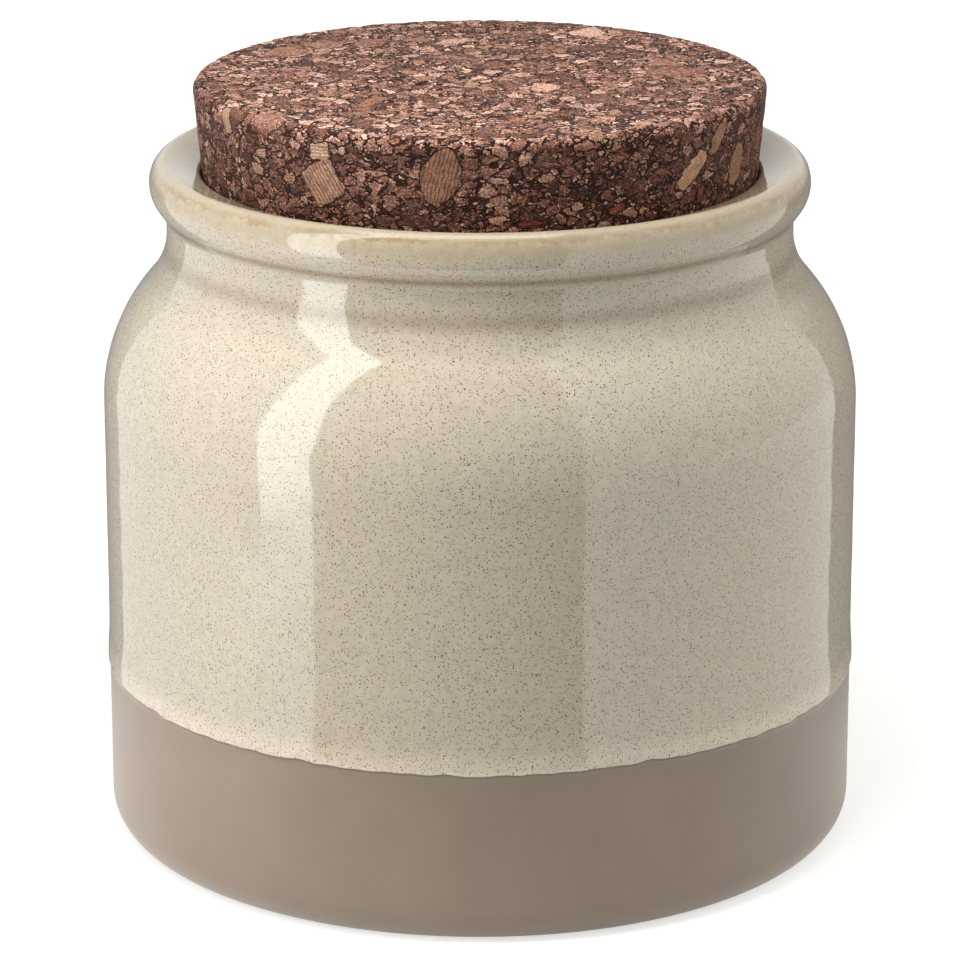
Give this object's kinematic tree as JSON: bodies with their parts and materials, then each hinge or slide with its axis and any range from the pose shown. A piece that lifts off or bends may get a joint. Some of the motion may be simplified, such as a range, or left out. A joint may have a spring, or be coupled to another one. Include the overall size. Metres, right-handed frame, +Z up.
{
  "type": "stoneware jar with cork lid",
  "caption": "Squat round stoneware jar with a rolled lip, glazed above a bare clay band, closed by a tapered cork lid pressed into its mouth.",
  "frame": {"origin": "middle of the flat foot, on the surface the jar stands on", "axes": "+Z up along the jar's axis, -Y towards the viewer of its front, +X to that viewer's right"},
  "size_m": [0.1206, 0.1206, 0.1219],
  "materials": {
    "glazed_stoneware": "glossy speckled beige glaze above, bare taupe clay on the lowest quarter",
    "cork": "matt dark agglomerated cork, ground flat"
  },
  "bodies": {
    "root": {"jar": "glazed_stoneware", "cork_lid": "cork"}
  },
  "joints": []
}
